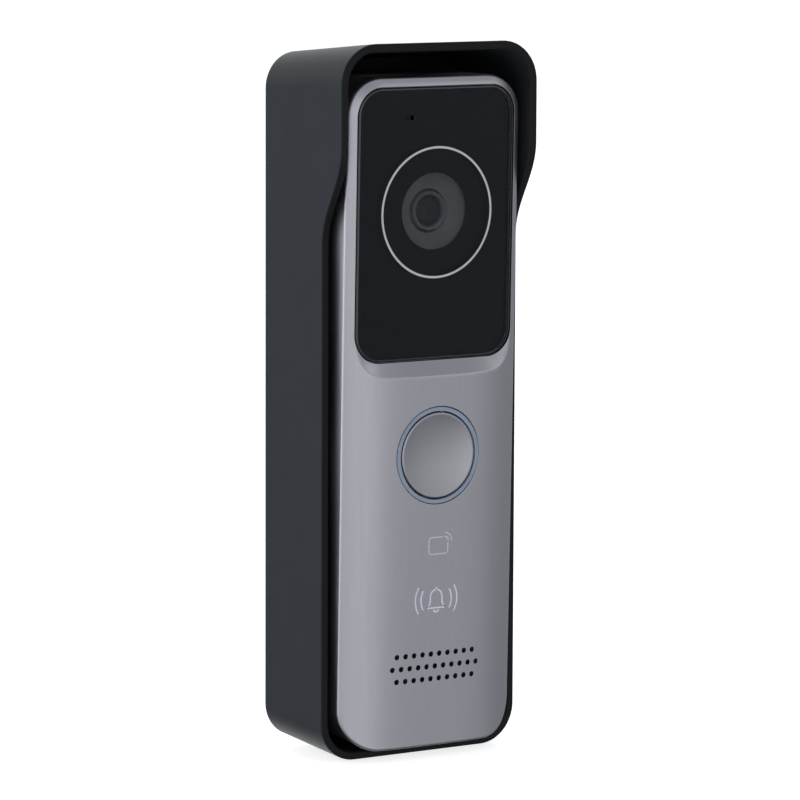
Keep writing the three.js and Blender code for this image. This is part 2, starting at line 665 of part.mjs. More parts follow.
add('terminal_block', terminalBlock(), LOOK.terminal);
add('tamper_switch', cut(
  box(2.6, TAMPER.z - 2.6, TAMPER.z + 2.6, -7.3, MAIN_BOARD.back + 0.1, TAMPER.x),
  rod(TAMPER.x, TAMPER.z, 1.6, -7, -9, 8),
), LOOK.chip);
add('tamper_plunger', rod(TAMPER.x, TAMPER.z, 1.25, -3.8, -8.2, 8), LOOK.plastic);

export default doorbell;
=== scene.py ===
"""Looks for the video doorbell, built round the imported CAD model.

Shapes are worked out in millimetres and go into Blender in metres. X runs to the right and Z up;
the front faces -Y, so a smaller depth is nearer the viewer.
"""
from math import cos, floor, hypot, pi, radians, sin, tan

import bmesh
import bpy
from mathutils import Matrix, Vector
from mathutils.geometry import delaunay_2d_cdt


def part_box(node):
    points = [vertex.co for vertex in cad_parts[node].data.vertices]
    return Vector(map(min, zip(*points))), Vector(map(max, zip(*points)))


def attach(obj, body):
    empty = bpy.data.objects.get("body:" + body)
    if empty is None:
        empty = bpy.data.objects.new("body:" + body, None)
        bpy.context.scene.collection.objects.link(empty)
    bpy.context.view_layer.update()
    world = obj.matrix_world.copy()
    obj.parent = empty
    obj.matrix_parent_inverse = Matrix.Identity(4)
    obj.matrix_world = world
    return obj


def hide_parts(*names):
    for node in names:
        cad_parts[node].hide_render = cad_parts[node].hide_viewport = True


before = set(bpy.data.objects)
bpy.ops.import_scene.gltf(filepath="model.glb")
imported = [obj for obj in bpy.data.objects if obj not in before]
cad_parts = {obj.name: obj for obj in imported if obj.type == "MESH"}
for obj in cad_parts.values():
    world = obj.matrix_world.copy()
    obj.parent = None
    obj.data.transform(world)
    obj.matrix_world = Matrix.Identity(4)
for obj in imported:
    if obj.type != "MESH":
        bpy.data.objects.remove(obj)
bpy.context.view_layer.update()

MM = 0.001
ROOT = "doorbell"

# ---------- dimensions, as in the CAD ----------


def node_box(name):
    """A CAD node's lowest and highest corners in millimetres."""
    low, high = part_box(name)
    return low / MM, high / MM


def centre_of(name):
    low, high = node_box(name)
    return (low + high) / 2


class Outline:
    """A rounded rectangle in X and Z, centred across."""

    def __init__(self, half, low, high, corner):
        self.half, self.low, self.high, self.corner = half, low, high, corner

    def grown(self, margin):
        return Outline(self.half + margin, self.low - margin, self.high + margin, self.corner + margin)

    def outside(self, x, z):
        """Distance outside the outline, negative inside it."""
        across = abs(x) - (self.half - self.corner)
        along = abs(z - (self.high + self.low) / 2) - ((self.high - self.low) / 2 - self.corner)
        return hypot(max(across, 0), max(along, 0)) + min(max(across, along), 0) - self.corner

    def rim(self, step=3.0, arc=10, like=None):
        """(place, outward normal) pairs round the outline, anticlockwise from the front. Another outline
        can set how many there are."""
        like = like or self
        across = floor(2 * (like.half - like.corner) / step)
        along = floor((like.high - like.low - 2 * like.corner) / step)
        half, low, high, corner = self.half - self.corner, self.low, self.high, self.corner
        centres = [(half, low + corner, -90), (half, high - corner, 0),
                   (-half, high - corner, 90), (-half, low + corner, 180)]
        places = []
        for x, z, start in centres:
            for i in range(arc + 1):
                angle = radians(start + 90 * i / arc)
                normal = Vector((cos(angle), sin(angle)))
                places.append((Vector((x, z)) + corner * normal, normal))
        rim = []
        for (place, normal), (after, turned_to) in zip(places, places[1:] + places[:1]):
            rim.append((place, normal))
            if (normal - turned_to).length < 1e-6:
                extra = along if abs(normal.x) > 0.5 else across
                rim += [(place.lerp(after, i / (extra + 1)), normal) for i in range(1, extra + 1)]
        return rim


def circle(x, z, radius, count):
    """The rim of a round hole."""
    rim = []
    for i in range(count):
        normal = Vector((cos(2 * pi * i / count), sin(2 * pi * i / count)))
        rim.append((Vector((x, z)) + radius * normal, normal))
    return rim


cover_low, cover_high = node_box("rain_cover")
COVER = Outline(cover_high.x, -cover_high.z, cover_high.z, 9.2)  # at the depth of the visor's edge
COVER_REAR = Outline(cover_high.x, -77.7, 77.7, 8)
COVER_WALL = 1.8
COVER_BACK = 2
LIP_DEPTH = 23.9
VISOR_DEPTH = -cover_low.y
SWEEP_LOW, SWEEP_HIGH = 36.3, 57.8
WALL_HOLES = (-38, 66)  # heights of the screw holes to the wall
WALL_HOLE, BRACKET_HOLE = 2.3, 1.5  # radii

GROMMET_FLANGE = 1.5
grommet_low, grommet_high = node_box("cable_grommet")
CABLE = Outline(12, grommet_low.z + GROMMET_FLANGE, grommet_high.z - GROMMET_FLANGE, 4)

shell_low, shell_high = node_box("front_shell")
DEVICE = Outline(shell_high.x, shell_low.z, shell_high.z, 9)
HOUSING = Outline(DEVICE.half, -75.9, DEVICE.high, DEVICE.corner)  # the back of the shell
DEVICE_WALL = 1.8
SHELL_BACK = -14.8
LEAN = tan(radians(1.3))
APEX = -31.65  # depth of the bowed front's middle at height 0
BOW = 4.25
BOW_POWER = 3.83
FACE_WALL = 2
FIELD = -28.8  # depth of the window's flat field at height 0
FIELD_MARGIN = 0.15  # how far the field reaches round the window
FIELD_TOP = 95  # above the shell, so the field is open at its top
INNER_BOW = BOW - 0.65
INNER_FIELD = -25.4  # depth of the shell's inner side behind the window
INNER_STEP = (4.6, 5.2)  # heights between which the inner side steps from the bow to that depth
RAMP_RUN = 3.5  # width of the ledge under the window, in the middle
RAMP_TAPER = 0.36  # how it narrows where the ledge is lower
BEVEL_WIDTH, BEVEL_DROP = 2.2, 1.4
BEVELLED = Outline(DEVICE.half + 0.15, DEVICE.low, DEVICE.high, DEVICE.corner)
EDGE = 0.55  # rounding of the shell's outer edge
# rounding where the front's surfaces meet: field, crest of the ledge, side of the field, bevel
FIELD_ROUND, CREST_ROUND, SIDE_ROUND, BEVEL_ROUND = 0.25, 0.35, 0.3, 0.15

window_high = node_box("front_window")[1]
WINDOW = Outline(window_high.x, 10, 70.7, 6.3)
WINDOW_THICK = 1.4
BEVEL_FROM = WINDOW.low + 4
FLOOR = Outline(WINDOW.half + FIELD_MARGIN, WINDOW.low - FIELD_MARGIN, FIELD_TOP,
                WINDOW.corner + FIELD_MARGIN)
POCKET_GAP = 0.25
POCKET_DEPTH = 2.3
POCKET = WINDOW.grown(POCKET_GAP)
POCKET_RIM = 2.3  # width of the rim in the pocket that the window is stuck to

RING_X, RING_Z, RING_RADIUS = 0.3, 42.8, 14.47  # the ring printed on the window
APERTURE = 8.6  # radius of the clear part of the window
MICROPHONE_HOLE = 0.6
lens_centre = centre_of("front_lens")
microphone = centre_of("microphone")
button = centre_of("call_button")
BUTTON_FACE = APEX - LEAN * button.z
BUTTON_HOLE = 11.05
speaker = centre_of("speaker_mesh")
SOUND_ROWS, SOUND_ROW_GAP, SOUND_PITCH, SOUND_HOLE = (10, 11, 10), 2.81, 2.25, 0.6

# ---------- the shell's front surface ----------


def soft_max(a, b, width):
    """The larger of a and b, rounded where they cross."""
    near = max(width - abs(a - b), 0) / width
    return max(a, b) + near * near * width / 4


def soft_min(a, b, width):
    return -soft_max(-a, -b, width)


def bow(x):
    return APEX + BOW * abs(x / DEVICE.half) ** BOW_POWER


def ledge_run(x):
    """Width of the ledge that joins the window's field to the bowed front."""
    return RAMP_RUN * (max(FIELD - bow(x), 0.01) / (FIELD - APEX)) ** RAMP_TAPER


def face(x, z):
    """Depth of the shell's front at a place on it."""
    run = ledge_run(x)
    away = soft_max(FLOOR.outside(x, z), 0, FIELD_ROUND)
    share = soft_min(away, run, CREST_ROUND) / run
    depth = bow(x) + soft_max(FIELD - bow(x), 0, SIDE_ROUND) * (1 - share)
    if z > BEVEL_FROM:
        bevel = FIELD + BEVEL_DROP * (1 + BEVELLED.outside(x, z) / BEVEL_WIDTH)
        depth = soft_max(depth, bevel, BEVEL_ROUND)
    return depth - LEAN * z


def face_normal(x, z):
    step = 0.02
    slope_x = (face(x + step, z) - face(x - step, z)) / (2 * step)
    slope_z = (face(x, z + step) - face(x, z - step)) / (2 * step)
    return Vector((slope_x, -1, slope_z)).normalized()


def plate(z, behind=0):
    """Depth of the flat, leaning window field at a height, or of something parallel behind it."""
    return FIELD + behind - LEAN * z


# ---------- mesh building ----------


class Solid:
    """Points, faces and the normals at their corners, of one closed piece in millimetres."""

    def __init__(self):
        self.points = []
        self.faces = []
        self.corners = []

    def ring(self, places):
        start = len(self.points)
        self.points += [Vector(place) for place in places]
        return list(range(start, len(self.points)))

    def face(self, indices, normals=None):
        """Adds a face, turned to agree with its normals where they are given."""
        if normals:
            a, b, c = (self.points[i] for i in indices[:3])
            if (b - a).cross(c - a).dot(normals[0] + normals[1] + normals[2]) < 0:
                indices, normals = indices[::-1], normals[::-1]
        self.faces.append(tuple(indices))
        self.corners.append(normals)

    def strip(self, first, second, first_normals=None, second_normals=None):
        for i in range(len(first)):
            j = (i + 1) % len(first)
            normals = None
            if first_normals:
                normals = [first_normals[i], first_normals[j], second_normals[j], second_normals[i]]
            self.face([first[i], first[j], second[j], second[i]], normals)

    def strips(self, rings, closed=False):
        for first, second in zip(rings, rings[1:]):
            self.strip(first, second)
        if closed:
            self.strip(rings[-1], rings[0])

    def fan(self, ring, place):
        middle = self.ring([place])[0]
        for i in range(len(ring)):
            self.face([ring[i], ring[(i + 1) % len(ring)], middle])

    def fill(self, border, holes=(), inner=(), depth=None, normal=None):
        """Fills a border in X and Z with triangles, round its holes and through the inner places."""
        loops = [border, *holes]
        used = [index for loop in loops for index in loop]
        flat = [Vector((self.points[i].x, self.points[i].z)) for i in used]
        edges = []
        start = 0
        for loop in loops:
            edges += [(start + i, start + (i + 1) % len(loop)) for i in range(len(loop))]
            start += len(loop)
        flat += [Vector(place) for place in inner]
        places, _, triangles, sources, _, _ = delaunay_2d_cdt(flat, edges, [], 0, 1e-6)
        hole_of = {index: k for k, hole in enumerate(holes) for index in hole}
        where = []
        for place, source in zip(places, sources):
            if source and source[0] < len(used):
                where.append(used[source[0]])
            else:
                where += self.ring([(place.x, depth(place.x, place.y), place.y)])
        for triangle in triangles:
            indices = [where[i] for i in triangle]
            around = {hole_of.get(i) for i in indices}
            if len(around) == 1 and around != {None}:
                continue  # every hole is convex, so this triangle lies in one
            normals = None
            if normal:
                normals = [normal(self.points[i].x, self.points[i].z) for i in indices]
            self.face(indices, normals)

    def build(self, name):
        """Makes the Blender object. Corner normals are kept; else flat faces stay flat."""
        mesh = bpy.data.meshes.new(name)
        mesh.from_pydata([point * MM for point in self.points], [], self.faces)
        obj = bpy.data.objects.new(name, mesh)
        bpy.context.scene.collection.objects.link(obj)
        if any(self.corners):
            mesh.polygons.foreach_set("use_smooth", [True] * len(mesh.polygons))
            normals = [tuple(n) for corner in self.corners for n in corner]
            mesh.normals_split_custom_set(normals)
            mesh.update()
            return obj
        shade(obj)
        return obj


def shade(obj):
    """Faces out, smooth shading up to the crease angle, and flat faces kept flat."""
    crease = radians(35)
    work = bmesh.new()
    work.from_mesh(obj.data)
    bmesh.ops.remove_doubles(work, verts=work.verts, dist=1e-7)
    bmesh.ops.recalc_face_normals(work, faces=work.faces)
    for patch in work.faces:
        patch.smooth = True
    for edge in work.edges:
        edge.smooth = len(edge.link_faces) == 2 and edge.calc_face_angle(0) < crease
    work.to_mesh(obj.data)
    work.free()
    keep_flat = obj.modifiers.new("keep_flat", "WEIGHTED_NORMAL")
    keep_flat.keep_sharp = True


def cut(obj, tool):
    """Cuts a tool out of a piece and removes the tool."""
    obj.modifiers.clear()
    tool.modifiers.clear()
    step = obj.modifiers.new("cut", "BOOLEAN")
    step.operation = "DIFFERENCE"
    step.solver = "EXACT"
    step.object = tool
    bpy.context.view_layer.update()
    shape = obj.evaluated_get(bpy.context.evaluated_depsgraph_get())
    done = bpy.data.meshes.new_from_object(shape)
    obj.modifiers.clear()
    obj.data = done
    bpy.data.objects.remove(tool)


def arc_through(start, middle, end, steps):
    """Points on a rounded corner."""
    start, middle, end = Vector(start), Vector(middle), Vector(end)
    for k in range(steps + 1):
        t = k / steps
        yield start.lerp(middle, t).lerp(middle.lerp(end, t), t)


def soften(points, radius, closed=True):
    """Rounds the corners of a section drawn as (a, b) points."""
    points = [Vector(point) for point in points]
    smooth = []
    steps, share = 4, 0.45
    for i, here in enumerate(points):
        if not closed and i in (0, len(points) - 1):
            smooth.append(here)
            continue
        before, after = points[i - 1], points[(i + 1) % len(points)]
        back, on = before - here, after - here
        reach = min(radius, back.length * share, on.length * share)
        start, end = here + back.normalized() * reach, here + on.normalized() * reach
        smooth += arc_through(start, here, end, steps)
    return smooth


def turned(name, section, centre, sides=96, leaning=False, axis="Y"):
    """A closed piece turned about Y or Z, from (radius, depth) points that start and end on the axis
    or run round a closed section."""
    solid = Solid()
    rings = []
    open_section = section[0][0] < 1e-6

    def spot(radius, depth, turn):
        a, b = radius * cos(turn), radius * sin(turn)
        if axis == "Z":
            return centre.x + a, centre.y + b, depth
        return centre.x + a, depth - (LEAN * b if leaning else 0), centre.z + b

    inner = section[1:-1] if open_section else section
    for radius, depth in inner:
        rings.append(solid.ring(spot(radius, depth, 2 * pi * i / sides) for i in range(sides)))
    solid.strips(rings, closed=not open_section)
    if open_section:
        solid.fan(rings[0], spot(0, section[0][1], 0))
        solid.fan(rings[-1], spot(0, section[-1][1], 0))
    return solid.build(name)


def moved_in(rim, inset):
    """A rim's places, each moved inward."""
    return [place - normal * inset for place, normal in rim]


def level_ring(solid, places, behind):
    """A ring parallel to the window field and that far behind it."""
    return solid.ring((at.x, plate(at.y, behind), at.y) for at in places)


def swept(name, rim, section):
    """A closed section, as (inset, depth) points, carried round a rim."""
    solid = Solid()
    rings = [solid.ring((at.x, depth, at.y) for at in moved_in(rim, inset)) for inset, depth in section]
    solid.strips(rings, closed=True)
    return solid.build(name)


# ---------- materials ----------


class Finish:
    """A Principled material with grain in its colour, roughness and surface."""

    def __init__(self, name, colour, rough, metal=0.0, **sockets):
        self.material = bpy.data.materials.new(name)
        self.material.use_nodes = True
        self.tree = self.material.node_tree
        self.shader = self.tree.nodes["Principled BSDF"]
        self.colour, self.rough = colour, rough
        self.set("Metallic", metal)
        for socket, value in sockets.items():
            self.set(socket.replace("_", " "), value)

    def set(self, socket, value):
        self.shader.inputs[socket].default_value = value

    def node(self, kind, **values):
        made = self.tree.nodes.new(kind)
        for key, value in values.items():
            if hasattr(made, key):
                setattr(made, key, value)
            else:
                made.inputs[key.replace("_", " ")].default_value = value
        return made

    def link(self, source, target):
        self.tree.links.new(source, target)

    def grain(self, size, stretch=(1, 1, 1), detail=3.0):
        """Noise whose blobs are about that many millimetres across."""
        where = self.node("ShaderNodeTexCoord")
        scaled = self.node("ShaderNodeMapping")
        scaled.inputs["Scale"].default_value = [1 / (s * size * MM) for s in stretch]
        noise = self.node("ShaderNodeTexNoise", Scale=1.0, Detail=detail, Roughness=0.55)
        self.link(where.outputs["Object"], scaled.inputs["Vector"])
        self.link(scaled.outputs["Vector"], noise.inputs["Vector"])
        return noise.outputs["Fac"]

    def ramp(self, value, low, high):
        spread = self.node("ShaderNodeMapRange")
        spread.inputs["From Min"].default_value = 0.3
        spread.inputs["From Max"].default_value = 0.7
        spread.inputs["To Min"].default_value = low
        spread.inputs["To Max"].default_value = high
        self.link(value, spread.inputs["Value"])
        return spread.outputs["Result"]

    def vary_colour(self, value, spread):
        mix = self.node("ShaderNodeMix", data_type="RGBA")
        share = self.ramp(value, 0, 1)
        self.link(share, mix.inputs["Factor"])
        colours = [socket for socket in mix.inputs if socket.type == "RGBA"]
        for socket, factor in zip(colours, (1 - spread, 1 + spread)):
            socket.default_value = [min(c * factor, 1) for c in self.colour] + [1]
        out = [socket for socket in mix.outputs if socket.type == "RGBA"][0]
        self.link(out, self.shader.inputs["Base Color"])

    def vary_rough(self, value, spread):
        rough = self.ramp(value, self.rough - spread, self.rough + spread)
        self.link(rough, self.shader.inputs["Roughness"])

    def bump(self, value, height):
        relief = self.node("ShaderNodeBump", Strength=1.0, Distance=height * MM)
        self.link(value, relief.inputs["Height"])
        self.link(relief.outputs["Normal"], self.shader.inputs["Normal"])


def plain(name, colour, rough, size=0.6, tone=0.06, spread=0.06, height=0.01, metal=0.0, **sockets):
    """Moulded, turned or cast stuff: slow tone changes, and a fine grain in gloss and relief."""
    finish = Finish(name, colour, rough, metal, **sockets)
    fine = finish.grain(size)
    slow = finish.grain(size * 24, detail=1.0)
    finish.vary_colour(slow, tone)
    finish.vary_rough(fine, spread)
    finish.bump(fine, height)
    return finish.material


def brushed(name, colour, rough, width=0.12):
    """Metal brushed along its height."""
    length, height = 24.0, 0.0012
    finish = Finish(name, colour, rough, 1.0, Anisotropic=0.55)
    lines = finish.grain(width, (1, 1, length / width), 4.0)
    broad = finish.grain(width * 9, (1, 1, length), 2.0)
    finish.vary_colour(lines, 0.035)
    finish.vary_rough(broad, 0.03)
    finish.bump(lines, height)
    tangent = finish.node("ShaderNodeTangent", direction_type="RADIAL", axis="Z")
    finish.link(tangent.outputs["Tangent"], finish.shader.inputs["Tangent"])
    return finish.material


def board_finish():
    """Green board with copper tracks under its lacquer."""
    finish = Finish("board", (0.015, 0.09, 0.045), 0.4)
    where = finish.node("ShaderNodeTexCoord")
    tracks = finish.node("ShaderNodeTexBrick", Scale=420.0)
    tracks.inputs["Color1"].default_value = (0.012, 0.085, 0.04, 1)
    tracks.inputs["Color2"].default_value = (0.02, 0.11, 0.055, 1)
    tracks.inputs["Mortar"].default_value = (0.04, 0.17, 0.08, 1)
    tracks.inputs["Mortar Size"].default_value = 0.03
    turn = finish.node("ShaderNodeMapping")
    turn.inputs["Rotation"].default_value = (pi / 2, 0, 0)
    finish.link(where.outputs["Object"], turn.inputs["Vector"])
    finish.link(turn.outputs["Vector"], tracks.inputs["Vector"])
    finish.link(tracks.outputs["Color"], finish.shader.inputs["Base Color"])
    fine = finish.grain(0.5)
    finish.vary_rough(fine, 0.05)
    finish.bump(fine, 0.01)
    return finish.material


def clear(name, tint, rough, size=4.0, bend=1.49, **sockets):
    """Clear glass or plastic with the faintest smears."""
    finish = Finish(name, tint, rough, 0.0, Transmission_Weight=1.0, IOR=bend, **sockets)
    slow = finish.grain(size, detail=2.0)
    finish.vary_colour(slow, 0.01)
    finish.vary_rough(slow, rough * 0.4)
    return finish.material


LOOKS = {
    "cover": plain("cover", (0.017, 0.0192, 0.0222), 0.36, size=0.25, spread=0.05, height=0.006,
                   Specular_IOR_Level=0.2),
    # painted shade: a darker, duller copy of the cover plastic for the cover's forward-facing faces
    "cover_painted_shade": plain("cover_painted_shade", (0.0085, 0.0094, 0.0106), 0.45, size=0.25, height=0.006,
                        Specular_IOR_Level=0.15),
    "aluminium": brushed("aluminium", (0.64, 0.63, 0.675), 0.33),
    "button": brushed("button", (0.6, 0.6, 0.63), 0.34, width=0.09),
    "window": clear("window", (0.41, 0.42, 0.43), 0.012, bend=1.33, Specular_Tint=(0.84, 0.94, 1.0, 1)),
    "window_rim": plain("window_rim", (0.02, 0.02, 0.022), 0.16, size=0.3, spread=0.02, height=0.0004,
                        Specular_IOR_Level=1.0),
    "mask": plain("mask", (0.003, 0.0032, 0.0035), 0.5, size=0.3, height=0.0004, Specular_IOR_Level=0.1),
    "print": plain("print", (0.46, 0.465, 0.47), 0.5, size=0.12, tone=0.04, height=0.004),
    "mark": plain("mark", (0.56, 0.6, 0.69), 0.45, size=0.12, tone=0.05, height=0.004),
    "faint_mark": plain("faint_mark", (0.48, 0.5, 0.57), 0.45, size=0.12, tone=0.05, height=0.004),
    "light_ring": plain("light_ring", (0.25, 0.285, 0.37), 0.32, size=0.3, tone=0.08, height=0.003,
                        Subsurface_Weight=0.15),
    "lens_glass": clear("lens_glass", (0.62, 0.7, 0.72), 0.01, size=2.0, Coat_Weight=0.6),
    "shroud": plain("shroud", (0.84, 0.84, 0.82), 0.5, size=0.2, height=0.006),
    "lens_ring": plain("lens_ring", (0.75, 0.79, 0.8), 0.36, size=0.15, height=0.003),
    "black_plastic": plain("black_plastic", (0.017, 0.018, 0.019), 0.5, size=0.3, height=0.012),
    "rubber": plain("rubber", (0.014, 0.014, 0.014), 0.8, size=0.5, height=0.02),
    "foam": plain("foam", (0.02, 0.02, 0.021), 0.92, size=0.35, height=0.08),
    "board": board_finish(),
    "chip": plain("chip", (0.012, 0.012, 0.013), 0.42, size=0.2, height=0.01),
    "steel": plain("steel", (0.55, 0.56, 0.57), 0.3, size=0.2, metal=1.0, height=0.004),
    "copper": plain("copper", (0.66, 0.33, 0.16), 0.35, size=0.25, metal=1.0, height=0.004),
    "paper": plain("paper", (0.045, 0.045, 0.047), 0.88, size=0.25, height=0.03),
    "led": plain("led", (0.75, 0.78, 0.82), 0.22, size=0.4, height=0.003),
    "terminal": plain("terminal", (0.035, 0.2, 0.075), 0.45, size=0.3, height=0.01),
}


def dress(piece, look):
    while piece.data.materials:
        piece.data.materials.pop()
    piece.data.materials.append(LOOKS[look])


def place(piece, look, nodes=(), body=ROOT, slot=None):
    """Gives a piece its material and body, and hides the CAD nodes that it stands for; the slot is not
    used.
    """
    dress(piece, look)
    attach(piece, body)
    if nodes:
        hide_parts(*nodes)
    return piece


# ---------- camera ----------


def make_camera():
    data = bpy.data.cameras.new("camera")
    data.lens = 214.3
    data.sensor_width = 36
    data.clip_start, data.clip_end = 0.05, 50
    camera = bpy.data.objects.new("camera", data)
    right = Vector((0.83247731, -0.55404623, 0.00378097))
    up = Vector((0.06400588, 0.10294544, 0.99262555))
    back = right.cross(up)
    turn = Matrix((right, up, back)).transposed().to_4x4()
    where = Vector((-0.59069, -0.90242, 0.12945))
    camera.matrix_world = Matrix.Translation(where) @ turn
    bpy.context.scene.collection.objects.link(camera)
    bpy.context.scene.camera = camera


make_camera()

# ---------- rain cover ----------


def lip(z):
    """How far forward the cover's edge stands at a height."""
    share = min(max((z - SWEEP_LOW) / (SWEEP_HIGH - SWEEP_LOW), 0), 1)
    return LIP_DEPTH + (VISOR_DEPTH - LIP_DEPTH) * (1 - cos(pi * share)) / 2


def rain_cover():
    solid = Solid()
    rims = list(zip(COVER_REAR.rim(0.8, 16, like=COVER), COVER.rim(0.8, 16)))
    back, outer, inner, steps = 0.5, 0.6, 0.45, 5
    # rounded corners as (inset, depth) points, and whether the depth is counted from the lip
    corners = [
        ((back, 0), (0, 0), (0, -back), False),
        ((0, outer), (0, 0), (outer, 0), True),
        ((COVER_WALL - inner, 0), (COVER_WALL, 0), (COVER_WALL, inner), True),
        ((COVER_WALL, -COVER_BACK - back), (COVER_WALL, -COVER_BACK),
         (COVER_WALL + back, -COVER_BACK), False),
    ]
    section = [(*point, at_lip) for start, middle, end, at_lip in corners
               for point in arc_through(start, middle, end, steps)]
    rings = []
    for inset, depth, at_lip in section:
        ring = []
        for (rear, normal), (front, _) in rims:
            edge = lip(front.y)
            edge = lip(rear.lerp(front, edge / VISOR_DEPTH).y)
            level = depth - edge if at_lip else depth
            here = rear.lerp(front, -level / VISOR_DEPTH) - normal * inset
            ring.append((here.x, level, here.y))
        rings.append(solid.ring(ring))
    solid.strips(rings)
    holes = [CABLE.rim(step=3, arc=8)]
    holes += [circle(0, z, WALL_HOLE, 40) for z in WALL_HOLES]
    holes += [circle(0, centre_of(f"bracket_screw_{i}").z, BRACKET_HOLE, 32) for i in (1, 2)]
    ease = 0.25
    outside, inside = [], []
    for hole in holes:
        levels = []
        for inset, depth in ((-ease, 0), (-ease * 0.3, -ease * 0.3), (0, -ease), (0, -COVER_BACK)):
            levels.append(solid.ring((at.x, depth, at.y) for at in moved_in(hole, inset)))
        solid.strips(levels)
        outside.append(levels[0])
        inside.append(levels[-1])
    solid.fill(rings[0], outside)
    solid.fill(rings[-1], inside)
    piece = solid.build("cover_hood")
    low = node_box("security_screw")[0].z
    head_hole, shank_hole = 3, 1.6
    profile = [(0, low - 2), (head_hole, low - 2), (head_hole, low + 1), (shank_hole, low + 1),
               (shank_hole, low + 4), (0, low + 4)]
    cut(piece, turned("bore", profile, centre_of("security_screw"), 64, axis="Z"))
    shade(piece)
    # painted shade: faces that point forward, the visor's front edge and the hood's inner back, get a
    # darker copy of the cover's material
    for patch in piece.data.polygons:  # the edge that faces forward is darker
        patch.material_index = 1 if patch.normal.y < -0.6 else 0
    return piece


hood = place(rain_cover(), "cover", ["rain_cover"], slot="cover")
# the second slot holds the painted-shade copy of the cover plastic
hood.data.materials.append(LOOKS["cover_painted_shade"])

# ---------- front shell ----------


def ledge_places():
    """Places along the ledge under the window, close together where it bends."""
    places = []
    top, least_gap = WINDOW.low + 12, 0.07
    for at, normal in FLOOR.rim(step=0.9, arc=22):
        if at.y > top:
            continue
        crest = 0.0
        for _ in range(30):
            away = at + normal * crest
            crest += 0.5 * (ledge_run(away.x) - crest)
        # how far out the rows of places are: near the field, on the ledge, and round its crest
        rows = [0.05, 0.13, 0.24, 0.4]
        rows += [0.4 + (crest - 0.9) * share for share in (0.25, 0.5, 0.75, 1)] if crest > 1.2 else []
        rows += [crest + t for t in (-0.36, -0.24, -0.12, 0, 0.12, 0.24, 0.36, 0.6)]
        spread = sorted(t for t in rows if t > 0.04)
        last = -1
        for t in spread:
            if t - last > least_gap:
                places.append(at + normal * t)
                last = t
    return places


